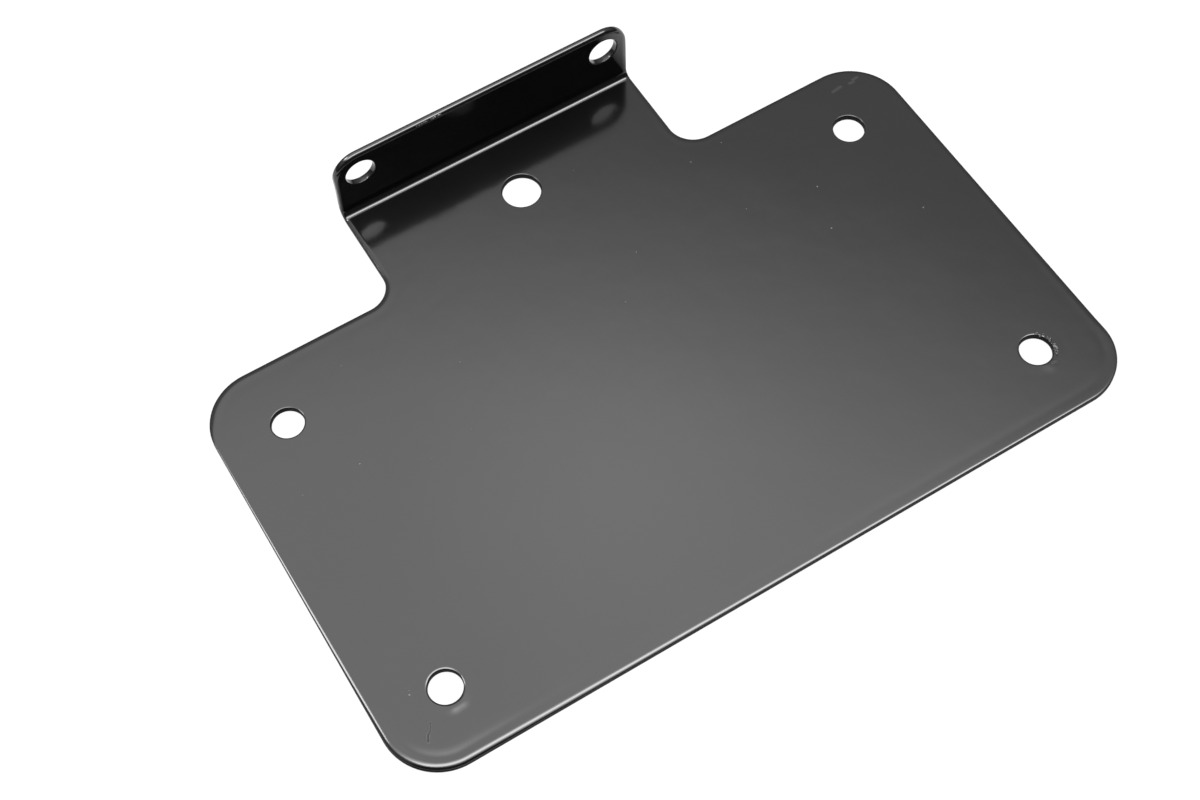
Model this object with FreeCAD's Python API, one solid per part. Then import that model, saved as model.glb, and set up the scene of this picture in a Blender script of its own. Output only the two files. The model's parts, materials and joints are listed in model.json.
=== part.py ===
"""License plate bracket of motorcycle size, folded from one powder coated steel sheet.

Sizes are in millimetres. The frame: the origin is the centre of the four plate holes on the
underside of the panel, +X runs along the panel's long side, +Y points from the panel to the
flange and +Z is up. The bracket lies on its underside, with the flange standing up at the back.
"""
import FreeCAD, Part
import os
from math import cos, sin, pi

# The sheet and its edges
SHEET_THICKNESS = 1.7
BEND_INNER_RADIUS = 1.7
PUNCHED_RIM_RADIUS = 0.6
BURR_EDGE_CHAMFER = 0.15

# The panel that carries the plate
PANEL_WIDTH = 177.8
PANEL_DEPTH = 101.6
PANEL_CORNER_RADIUS = 12.7
PLATE_HOLE_INSET = 15.875
PLATE_HOLE_DIAMETER = 7.3

# The neck on the panel's back edge
NECK_WIDTH = 76.2
NECK_LENGTH = 27.0
NECK_FILLET_RADIUS = 6.35
NECK_HOLE_DIAMETER = 9.0
NECK_HOLE_SETBACK = 9.6

# The flange that stands at the neck's end
FLANGE_HEIGHT = 20.4
FLANGE_CORNER_RADIUS = 6.35
FLANGE_HOLE_INSET = 6.35
FLANGE_HOLE_DIAMETER = 7.3

# Places that several features share
PANEL_FRONT_Y = -PANEL_DEPTH / 2
PANEL_BACK_Y = PANEL_DEPTH / 2
FLANGE_OUTER_Y = PANEL_BACK_Y + NECK_LENGTH
FLANGE_INNER_Y = FLANGE_OUTER_Y - SHEET_THICKNESS
BEND_OUTER_RADIUS = BEND_INNER_RADIUS + SHEET_THICKNESS
SIDES = (-1, 1)
MATCH = 1e-4

X_AXIS = FreeCAD.Vector(1, 0, 0)
Y_AXIS = FreeCAD.Vector(0, 1, 0)
Z_AXIS = FreeCAD.Vector(0, 0, 1)


def section_point(y, z):
    """A point of the sheet's section, at the left end of the strip."""
    return FreeCAD.Vector(-PANEL_WIDTH / 2, y, z)


def bend_point(radius, angle):
    """A point on the fold, at an angle from straight below the bend's own axis."""
    y = FLANGE_OUTER_Y - BEND_OUTER_RADIUS + radius * sin(angle)
    z = BEND_OUTER_RADIUS - radius * cos(angle)
    return section_point(y, z)


def bend_arc(radius, first, last):
    """An arc of the fold between two angles."""
    points = [bend_point(radius, angle) for angle in (first, (first + last) / 2, last)]
    return Part.Arc(*points).toShape()


def folded_section():
    """The L section of the sheet: flat panel, rounded fold and standing flange."""
    flat, upright = 0, pi / 2
    front_bottom = section_point(PANEL_FRONT_Y, 0)
    front_top = section_point(PANEL_FRONT_Y, SHEET_THICKNESS)
    outer_top = section_point(FLANGE_OUTER_Y, FLANGE_HEIGHT)
    inner_top = section_point(FLANGE_INNER_Y, FLANGE_HEIGHT)
    wire = Part.Wire([
        Part.makeLine(front_bottom, bend_point(BEND_OUTER_RADIUS, flat)),
        bend_arc(BEND_OUTER_RADIUS, flat, upright),
        Part.makeLine(bend_point(BEND_OUTER_RADIUS, upright), outer_top),
        Part.makeLine(outer_top, inner_top),
        Part.makeLine(inner_top, bend_point(BEND_INNER_RADIUS, upright)),
        bend_arc(BEND_INNER_RADIUS, upright, flat),
        Part.makeLine(bend_point(BEND_INNER_RADIUS, flat), front_top),
        Part.makeLine(front_top, front_bottom),
    ])
    return Part.Face(wire)


def folded_strip():
    """The L section run out to the panel's full width."""
    return folded_section().extrude(X_AXIS * PANEL_WIDTH)


def plan_block():
    """The square-cornered plan of panel and neck, as a block as tall as the flange."""
    right, neck = PANEL_WIDTH / 2, NECK_WIDTH / 2
    right_half = [
        (right, PANEL_FRONT_Y),
        (right, PANEL_BACK_Y),
        (neck, PANEL_BACK_Y),
        (neck, FLANGE_OUTER_Y),
    ]
    left_half = [(-x, y) for x, y in reversed(right_half)]
    corners = [FreeCAD.Vector(x, y, 0) for x, y in right_half + left_half]
    wire = Part.makePolygon(corners + corners[:1])
    return Part.Face(wire).extrude(Z_AXIS * FLANGE_HEIGHT)


def edges_at(shape, axis, places):
    """The straight edges along an axis that stand at one of the given places."""
    found = []
    for edge in shape.Edges:
        start, end = edge.Vertexes[0].Point, edge.Vertexes[-1].Point
        along_axis = (end - start).Length > MATCH and (end - start).cross(axis).Length < MATCH
        if along_axis and any((start - place).cross(axis).Length < MATCH for place in places):
            found.append(edge)
    return found


def rounded_blank():
    """The folded sheet with its outline cut and every outline corner rounded."""
    panel_corners = [
        FreeCAD.Vector(side * PANEL_WIDTH / 2, y, 0)
        for side in SIDES for y in (PANEL_FRONT_Y, PANEL_BACK_Y)
    ]
    neck_roots = [FreeCAD.Vector(side * NECK_WIDTH / 2, PANEL_BACK_Y, 0) for side in SIDES]
    flange_tips = [FreeCAD.Vector(side * NECK_WIDTH / 2, 0, FLANGE_HEIGHT) for side in SIDES]
    blank = folded_strip().common(plan_block())
    blank = blank.makeFillet(PANEL_CORNER_RADIUS, edges_at(blank, Z_AXIS, panel_corners))
    blank = blank.makeFillet(NECK_FILLET_RADIUS, edges_at(blank, Z_AXIS, neck_roots))
    return blank.makeFillet(FLANGE_CORNER_RADIUS, edges_at(blank, Y_AXIS, flange_tips))


def punch(centre, axis, diameter):
    """A round punch that reaches past both faces of the sheet from a point on its outside."""
    reach = 2 * SHEET_THICKNESS
    return Part.makeCylinder(diameter / 2, 2 * reach, centre - axis * reach, axis)


def plate_punches():
    """Four holes near the panel's corners, on the pattern that the plate is bolted through."""
    x = PANEL_WIDTH / 2 - PLATE_HOLE_INSET
    y = PANEL_DEPTH / 2 - PLATE_HOLE_INSET
    return [
        punch(FreeCAD.Vector(side * x, end * y, 0), Z_AXIS, PLATE_HOLE_DIAMETER)
        for side in SIDES for end in SIDES
    ]


def neck_punch():
    """One larger hole on the centre line of the neck."""
    centre = FreeCAD.Vector(0, PANEL_BACK_Y + NECK_HOLE_SETBACK, 0)
    return punch(centre, Z_AXIS, NECK_HOLE_DIAMETER)


def flange_punches():
    """Two holes in the flange's top corners, that bolt the bracket to its carrier."""
    x = NECK_WIDTH / 2 - FLANGE_HOLE_INSET
    z = FLANGE_HEIGHT - FLANGE_HOLE_INSET
    return [
        punch(FreeCAD.Vector(side * x, FLANGE_OUTER_Y, z), Y_AXIS, FLANGE_HOLE_DIAMETER)
        for side in SIDES
    ]


def is_flat_at(face, axis, place):
    """Whether a face is flat, square to an axis and at a place along it."""
    surface = face.Surface
    if not isinstance(surface, Part.Plane):
        return False
    square = surface.Axis.cross(axis).Length < MATCH
    return square and abs(surface.Position.dot(axis) - place) < MATCH


def is_fold(face, radius):
    """Whether a face is the fold's round, at a radius about the bend's own axis."""
    surface = face.Surface
    if not isinstance(surface, Part.Cylinder):
        return False
    return surface.Axis.cross(X_AXIS).Length < MATCH and abs(surface.Radius - radius) < MATCH


def rim_edges(shape, panel_z, flange_y, fold_radius):
    """The edges where one skin of the sheet meets its cut edge or a hole's wall."""
    skin = [
        face for face in shape.Faces
        if is_flat_at(face, Z_AXIS, panel_z)
        or is_flat_at(face, Y_AXIS, flange_y)
        or is_fold(face, fold_radius)
    ]
    edges = [edge for face in skin for edge in face.Edges]
    return [edge for edge in edges if sum(edge.isSame(other) for other in edges) == 1]


def bracket():
    """The whole bracket: folded, cut, punched and with its rims eased.

    The punch rolls the rim over on the side that it enters, which is the upper side of the
    panel and the inside of the fold. The burr is broken off the rim on the other side.
    """
    sheet = rounded_blank()
    for cutter in plate_punches() + [neck_punch()] + flange_punches():
        sheet = sheet.cut(cutter)
    rolled = rim_edges(sheet, SHEET_THICKNESS, FLANGE_INNER_Y, BEND_INNER_RADIUS)
    sheet = sheet.makeFillet(PUNCHED_RIM_RADIUS, rolled)
    burred = rim_edges(sheet, 0, FLANGE_OUTER_Y, BEND_OUTER_RADIUS)
    return sheet.makeChamfer(BURR_EDGE_CHAMFER, burred)


def main():
    """Build the bracket and write its one solid."""
    os.makedirs("parts", exist_ok=True)
    solid = bracket().Solids[0]
    solid.exportStep("parts/bracket.step")
    state = "valid" if solid.isValid() else "not valid"
    print("bracket:", state, round(solid.Volume, 1), "cubic mm")


main()
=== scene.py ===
"""Looks of a folded and powder coated license plate bracket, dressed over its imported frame.

The coated sheet is modelled flat, as a punched blank with rolled rims and the dip that the
powder leaves behind them. A node tree then folds the flange up, and the piece stands for the
frame's own solid. Every length is in metres unless its name says otherwise.
"""

import json
import logging
from dataclasses import dataclass, field, replace
from enum import Enum
from functools import reduce
from math import cos, pi, radians, sin

import bmesh
import bpy
import numpy as np
from mathutils import Euler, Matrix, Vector
from mathutils.geometry import delaunay_2d_cdt

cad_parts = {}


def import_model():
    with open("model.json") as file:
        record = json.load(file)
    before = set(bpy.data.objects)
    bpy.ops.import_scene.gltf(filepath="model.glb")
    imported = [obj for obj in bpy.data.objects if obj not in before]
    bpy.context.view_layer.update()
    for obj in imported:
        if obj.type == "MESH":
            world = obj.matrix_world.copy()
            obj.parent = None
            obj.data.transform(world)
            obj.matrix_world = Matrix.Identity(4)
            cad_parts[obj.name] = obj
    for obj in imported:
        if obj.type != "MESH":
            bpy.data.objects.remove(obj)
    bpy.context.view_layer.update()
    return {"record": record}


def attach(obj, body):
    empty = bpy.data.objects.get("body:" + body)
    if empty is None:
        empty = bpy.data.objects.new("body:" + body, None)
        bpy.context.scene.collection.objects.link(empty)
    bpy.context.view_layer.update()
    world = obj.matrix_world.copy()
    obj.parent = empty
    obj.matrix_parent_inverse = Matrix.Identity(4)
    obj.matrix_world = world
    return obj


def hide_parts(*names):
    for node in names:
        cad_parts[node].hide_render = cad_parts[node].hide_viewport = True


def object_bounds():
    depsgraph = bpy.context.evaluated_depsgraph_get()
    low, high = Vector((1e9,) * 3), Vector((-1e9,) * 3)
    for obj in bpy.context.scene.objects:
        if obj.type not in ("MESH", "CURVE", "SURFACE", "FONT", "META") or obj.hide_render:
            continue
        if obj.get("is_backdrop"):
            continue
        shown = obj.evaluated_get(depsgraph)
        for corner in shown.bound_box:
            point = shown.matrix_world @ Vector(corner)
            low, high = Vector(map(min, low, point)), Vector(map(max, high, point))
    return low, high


MM = 0.001
NEAR = MM / 1000
LAMP_GAP = 5 * MM
STROKE_END = 1.5
DUST_AND_GLINT = "dust"
SIDES = (-1, 1)
LOG = logging.getLogger("bracket")
Point = tuple[float, float]
Place = tuple[float, float, float]
Colour = tuple[float, float, float, float]
Ramp = tuple[float, float, float, float]
Stroke = tuple[Point, Point, float]
Socket = bpy.types.NodeSocket


class Skin(Enum):
    """The two faces of the sheet."""

    ROLLED = "the punch side: top of the panel and inside of the fold"
    BURR = "the die side: underside of the panel and outside of the fold"


class Ray(Enum):
    """The kinds of ray that see the white studio instead of its lit surfaces."""

    CAMERA = "Is Camera Ray"
    GLOSSY = "Is Glossy Ray"
    TRANSMISSION = "Is Transmission Ray"


class LampShape(Enum):
    """The outline of a soft lamp."""

    RECTANGLE = "RECTANGLE"
    DISK = "DISK"


@dataclass(frozen=True)
class Corner:
    """A corner of the outline.

    Attributes:
        place: where its two straight sides would meet.
        radius: the radius that rounds it, outwards or inwards.
    """

    place: Point
    radius: float


@dataclass(frozen=True)
class Hole:
    """A punched round hole in the flat blank.

    Attributes:
        centre: its place on the blank.
        radius: its finished radius.
        steps: the number of points round it.
    """

    centre: Point
    radius: float
    steps: int = 72

    def ring(self, inset: float) -> np.ndarray:
        """The points round the hole, set back from its wall into the sheet."""
        turns = 2 * pi * np.arange(self.steps) / self.steps
        reach = self.radius + inset
        return self.centre + reach * np.column_stack((np.cos(turns), -np.sin(turns)))

    def insets(self, points: np.ndarray) -> np.ndarray:
        """How far points lie from the hole's wall."""
        return np.hypot(*(points - self.centre).T) - self.radius


@dataclass(frozen=True)
class SheetSizes:
    """The sizes of the folded sheet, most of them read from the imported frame."""

    panel_width: float
    panel_front: float
    panel_back: float
    flange_outer: float
    flange_height: float
    thickness: float
    front_left: Hole
    back_left: Hole
    front_right: Hole
    back_right: Hole
    neck_hole: Hole
    flange_hole_x: float
    flange_hole_z: float
    flange_hole_radius: float
    neck_width: float = 76.2 * MM
    panel_corner: float = 12.7 * MM
    neck_fillet: float = 6.35 * MM
    flange_corner: float = 6.35 * MM
    bend_inner: float = 1.7 * MM
    burr_round: float = 0.3 * MM

    @classmethod
    def from_frame(cls, record: dict) -> "SheetSizes":
        """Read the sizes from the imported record.

        Args:
            record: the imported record, with its mounts.

        Returns:
            The sheet's sizes.
        """
        mounts = {mount["name"]: mount for mount in record["mounts"]}
        low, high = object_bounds()
        plate, flange, neck = (mounts[name] for name in ("plate_holes", "flange_holes", "neck_hole"))
        half_x, half_y = (plate["dims"][f"spacing_{axis}_mm"] * MM / 2 for axis in "xy")
        radius = plate["dims"]["hole_r_mm"] * MM
        corners = [(side * half_x, end * half_y) for side in SIDES for end in SIDES]
        names = ("front_left", "back_left", "front_right", "back_right")
        return cls(
            panel_width=high[0] - low[0],
            panel_front=low[1],
            panel_back=-low[1],
            flange_outer=high[1],
            flange_height=high[2],
            thickness=mounts["panel_top"]["pos_m"][2],
            neck_hole=Hole((0.0, neck["pos_m"][1]), neck["dims"]["r_mm"] * MM),
            flange_hole_x=flange["dims"]["spacing_x_mm"] * MM / 2,
            flange_hole_z=flange["pos_m"][2],
            flange_hole_radius=flange["dims"]["hole_r_mm"] * MM,
            **{name: Hole(corner, radius) for name, corner in zip(names, corners)},
        )

    @property
    def bend_outer(self) -> float:
        """The radius of the fold's outside."""
        return self.bend_inner + self.thickness

    @property
    def fold_start(self) -> float:
        """Where the flat neck ends and the fold starts."""
        return self.flange_outer - self.bend_outer

    @property
    def fold_length(self) -> float:
        """The length of flat sheet that the fold takes up, along its middle."""
        return (self.bend_inner + self.thickness / 2) * pi / 2

    def unfolded(self, height: float) -> float:
        """The place on the flat blank of a height on the flange."""
        return self.fold_start + self.fold_length + height - self.bend_outer

    def footprint(self) -> tuple[tuple[Point, Point], tuple[Point, Point]]:
        """The lowest and highest corner of the panel and of the neck, seen from above."""
        right, neck = self.panel_width / 2, self.neck_width / 2
        panel = ((-right, self.panel_front), (right, self.panel_back))
        return panel, ((-neck, self.panel_front), (neck, self.flange_outer))

    def corners(self) -> list[Corner]:
        """The outline's corners, anticlockwise from the front right one."""
        right, neck = self.panel_width / 2, self.neck_width / 2
        half = [
            Corner((right, self.panel_front), self.panel_corner),
            Corner((right, self.panel_back), self.panel_corner),
            Corner((neck, self.panel_back), self.neck_fillet),
            Corner((neck, self.unfolded(self.flange_height)), self.flange_corner),
        ]
        return half + [Corner((-c.place[0], c.place[1]), c.radius) for c in reversed(half)]

    def holes(self) -> list[Hole]:
        """Every hole of the flat blank."""
        tip = self.unfolded(self.flange_hole_z)
        places = [(side * self.flange_hole_x, tip) for side in SIDES]
        flange = [Hole(place, self.flange_hole_radius) for place in places]
        plate = [self.front_left, self.back_left, self.front_right, self.back_right]
        return [*plate, self.neck_hole, *flange]


@dataclass(frozen=True)
class Outline:
    """The rounded outline of the flat blank, and the same outline set back into the sheet.

    Attributes:
        corners: its corners, anticlockwise.
        crossings: the places along the neck where a row of points runs across the sheet.
        arc_step: the angle between two points of a rounded corner.
        side_step: the longest distance between two points of a straight side.
    """

    corners: list[Corner]
    crossings: list[float]
    arc_step: float = radians(4.5)
    side_step: float = 3 * MM

    def arc(self, index: int, inset: float) -> list[Vector]:
        """The points round one corner.

        Args:
            index: the corner's place in the list.
            inset: how far the ring is set back into the sheet.

        Returns:
            The points, in the outline's own direction.
        """
        corner = self.corners[index]
        place = Vector(corner.place)
        arriving = (place - Vector(self.corners[index - 1].place)).normalized()
        leaving = (Vector(self.corners[(index + 1) % len(self.corners)].place) - place).normalized()
        centre = place - arriving * corner.radius + leaving * corner.radius
        turns_left = arriving.cross(leaving) > 0
        radius = corner.radius - inset if turns_left else corner.radius + inset
        steps = round(pi / 2 / self.arc_step)
        turns = [pi / 2 * step / steps for step in range(steps + 1)]
        return [centre + (arriving * sin(t) - leaving * cos(t)) * radius for t in turns]

    def side(self, start: Vector, end: Vector) -> list[Vector]:
        """The points between two corners, with one at each row that crosses the sheet."""
        count = max(1, round((end - start).length / self.side_step))
        shares = {step / count for step in range(1, count)}
        if abs(end.x - start.x) < NEAR:
            rise = end.y - start.y
            rows = [(row - start.y) / rise for row in self.crossings]
            rows = [share for share in rows if 0 < share < 1]
            gap = self.side_step / 2 / abs(rise)
            shares = {s for s in shares if all(abs(s - row) > gap for row in rows)}
            shares.update(rows)
        return [start.lerp(end, share) for share in sorted(shares)]

    def ring(self, inset: float) -> np.ndarray:
        """The points of the whole outline, set back into the sheet."""
        points: list[Vector] = []
        arcs = [self.arc(index, inset) for index in range(len(self.corners))]
        for arc, following in zip(arcs, arcs[1:] + arcs[:1]):
            points.extend(arc)
            points.extend(self.side(arc[-1], following[0]))
        return np.array(points)

    def insets(self, points: np.ndarray) -> np.ndarray:
        """How far points lie from the nearest point of the outline."""
        loop = self.ring(0.0)
        nearest = np.full(len(points), np.inf)
        for start, end in zip(loop, np.roll(loop, -1, axis=0)):
            step = end - start
            share = np.clip((points - start) @ step / (step @ step), 0.0, 1.0)
            gaps = np.hypot(*(points - start - share[:, None] * step).T)
            nearest = np.minimum(nearest, gaps)
        return nearest


@dataclass(frozen=True)
class Roll:
    """How the punch rolled the outline over: a gentle slope, and a tight round at the edge.

    The front edge and the left side are rolled widely where they meet, and ever less away from
    there. The edges behind have an even slope.

    Attributes:
        corner: the front left corner of the panel.
        slope_reach: how far the wide slope runs out from that corner, along X and along Y.
        front_slope: the least and the added width of the slope along the front.
        left_slope: the same along the left side.
        back_slope: the slope's width on the panel and neck behind, and on the flange's top.
        round_reach: how far the wide round runs out from the corner.
        front_round: the least and the added radius of the round there.
        back_round: the round's radius in the same two places as back_slope.
        hole_slope: the slope's least and added width at a hole.
        hole_reach: how far the wide slope of the holes runs out from the corner, along X and Y.
        hole_round: the round's radius at a hole.
        dip_reach: how far the coat's dip runs out from the corner.
        dip_share: the dip's share of its full depth at the corner, along the front and behind.
        band: how far from the front and the left side their own roll holds.
        fade: the length over which one roll passes into the next.
        left_end: how far from the front the left side's roll ends.
        flange_start: how far from the front the roll of the flange's top starts.
    """

    corner: Point
    slope_reach: Point = (110 * MM, 55 * MM)
    front_slope: Point = (0.35 * MM, 0.75 * MM)
    left_slope: Point = (0.15 * MM, 0.95 * MM)
    back_slope: Point = (1.0 * MM, 0.1 * MM)
    round_reach: float = 20 * MM
    front_round: Point = (0.12 * MM, 1.2 * MM)
    back_round: Point = (0.4 * MM, 1.15 * MM)
    hole_slope: Point = (0.05 * MM, 0.42 * MM)
    hole_reach: Point = (220 * MM, 90 * MM)
    hole_round: float = 0.25 * MM
    dip_reach: float = 18 * MM
    dip_share: Place = (1.0, 0.15, 0.05)
    band: float = 9 * MM
    fade: float = 6 * MM
    left_end: float = 95 * MM
    flange_start: float = 138 * MM

    def away(self, points: np.ndarray) -> np.ndarray:
        """How far points lie from the widely rolled corner."""
        return np.linalg.norm(points - self.corner, axis=1)

    def step(self, distance: np.ndarray) -> np.ndarray:
        """A share that rises from 0 to 1 over one fade."""
        return np.clip(distance / self.fade, 0.0, 1.0)

    def sides(self, points: np.ndarray) -> tuple[np.ndarray, np.ndarray]:
        """How much points lie along the front, and along the left side.

        Args:
            points: the points.

        Returns:
            The two shares at each point. Where both are 0, a point lies behind.
        """
        right, depth = (points - self.corner).T
        front, left = (1 - self.step(distance - self.band) for distance in (depth, right))
        return front, left * (1 - front) * self.step(self.left_end - depth)

    def at(self, points: np.ndarray, is_hole: bool) -> tuple[np.ndarray, np.ndarray]:
        """The roll at points of a rim.

        Args:
            points: the points.
            is_hole: whether the rim runs round a hole.

        Returns:
            The slope's width and the round's radius at each point.
        """
        offset = points - self.corner
        if is_hole:
            near = np.exp(-((offset / self.hole_reach) ** 2).sum(axis=1))
            return self.hole_slope[0] + self.hole_slope[1] * near, np.full_like(near, self.hole_round)
        away = self.away(points)
        front, left = self.sides(points)
        top = self.step(offset[:, 1] - self.flange_start)
        slope, tight = (
            low + (high - low) * top for low, high in (self.back_slope, self.back_round)
        )
        slope = slope * (1 - front - left)
        for share, sizes, reach in zip(
            (front, left), (self.front_slope, self.left_slope), self.slope_reach
        ):
            slope += share * (sizes[0] + sizes[1] * np.exp(-((away / reach) ** 2)))
        wide = self.front_round[0] + self.front_round[1] * np.exp(-away / self.round_reach)
        return slope, tight + (wide - tight) * (front + left)

    def coat_share(self, points: np.ndarray) -> np.ndarray:
        """How much of its full dip the coat has: most at the rolled corner."""
        corner, front, behind = self.dip_share
        along = self.sides(points)[0]
        near = np.exp(-((self.away(points) / self.dip_reach) ** 2))
        return behind + (front - behind) * along + (corner - front) * near


@dataclass(frozen=True)
class Sag:
    """A place where the powder ran together and stands a little higher.

    Attributes:
        place: its centre on the panel.
        reach: how far it spreads.
        lift: how high it stands.
    """

    place: Point
    reach: float
    lift: float

    def heights(self, points: np.ndarray) -> np.ndarray:
        """How much it lifts the coat at points."""
        away = np.hypot(*(points - self.place).T) / self.reach
        return self.lift * np.exp(-(away**2))


@dataclass(frozen=True)
class RimSection:
    """The section through a coated rim, from the underside round to the top.

    Attributes:
        thickness: the sheet's thickness.
        burr: the radius that the coat leaves on the side where the punch leaves.
        dip_depth: how thin the coat runs behind the roll.
        dip_place: how far the dip's lowest line lies from the edge.
        dip_width: how far the dip reaches to either side.
        gentle_turn: the angle of the gentle slope where the tight round takes over.
        gentle_steps: the number of steps down the gentle slope.
        tight_steps: the number of steps round the tight round.
        burr_steps: the number of steps round the burr side's edge.
        flat_steps: the number of steps from the roll to the margin.
        margin: how far the section reaches into the sheet.
    """

    thickness: float
    burr: float
    dip_depth: float = 0.12 * MM
    dip_place: float = 2.6 * MM
    dip_width: float = 0.95 * MM
    gentle_turn: float = radians(20.0)
    gentle_steps: int = 5
    tight_steps: int = 6
    burr_steps: int = 3
    flat_steps: int = 4
    margin: float = 1.8 * MM

    def coat(self, inset: np.ndarray) -> np.ndarray:
        """How much lower the coat is, at a distance from the edge."""
        return -self.dip_depth * np.exp(-(((inset - self.dip_place) / self.dip_width) ** 2))

    def steps(
        self, slope: np.ndarray, radius: np.ndarray, coat: np.ndarray
    ) -> list[tuple[np.ndarray, np.ndarray]]:
        """The section's points.

        Args:
            slope: the width of the gentle slope, at each point round the rim.
            radius: the radius of the tight round, at each point round the rim.
            coat: how much of its dip the coat has, at each point round the rim.

        Returns:
            Pairs of a distance from the edge and a height above the underside, for each of them.
        """
        burr, top, turn_at = self.burr, self.thickness, self.gentle_turn
        gentle = slope / sin(turn_at)
        tight_width = radius * (1 - sin(turn_at))
        roll = tight_width + slope
        shoulder = top - gentle * (1 - cos(turn_at))
        wall_top = shoulder - radius * cos(turn_at)
        even = np.ones_like(roll)
        points = [(self.margin * even, 0.0 * even)]
        for step in range(self.burr_steps + 1):
            turn = pi / 2 * step / self.burr_steps
            points.append(((burr - burr * sin(turn)) * even, (burr - burr * cos(turn)) * even))
        points.append((0.0 * even, (burr + wall_top) / 2))
        for step in range(self.tight_steps):
            turn = pi / 2 + (turn_at - pi / 2) * step / self.tight_steps
            points.append((radius * (1 - sin(turn)), wall_top + radius * cos(turn)))
        for step in range(self.gentle_steps + 1):
            share = step / self.gentle_steps
            turn = turn_at * (1 - share)
            inset = tight_width + gentle * (sin(turn_at) - sin(turn))
            lift = coat * self.coat(roll) * share
            points.append((inset, top - gentle * (1 - cos(turn)) + lift))
        for step in range(1, self.flat_steps + 1):
            inset = roll + (self.margin - roll) * step / self.flat_steps
            points.append((inset, top + coat * self.coat(inset)))
        return points


def within(points: np.ndarray, loops: list[np.ndarray]) -> np.ndarray:
    """Which points lie on the sheet between closed loops.

    Args:
        points: the points to test.
        loops: the outline and the holes, as rings of points.

    Returns:
        True for each point that an odd number of the loops encloses.
    """
    inside = np.zeros(len(points), dtype=bool)
    for loop in loops:
        for (x0, y0), (x1, y1) in zip(loop, np.roll(loop, -1, axis=0)):
            if y0 != y1:
                crossed = (y0 > points[:, 1]) != (y1 > points[:, 1])
                at = x0 + (points[:, 1] - y0) * (x1 - x0) / (y1 - y0)
                inside ^= crossed & (points[:, 0] < at)
    return inside


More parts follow.
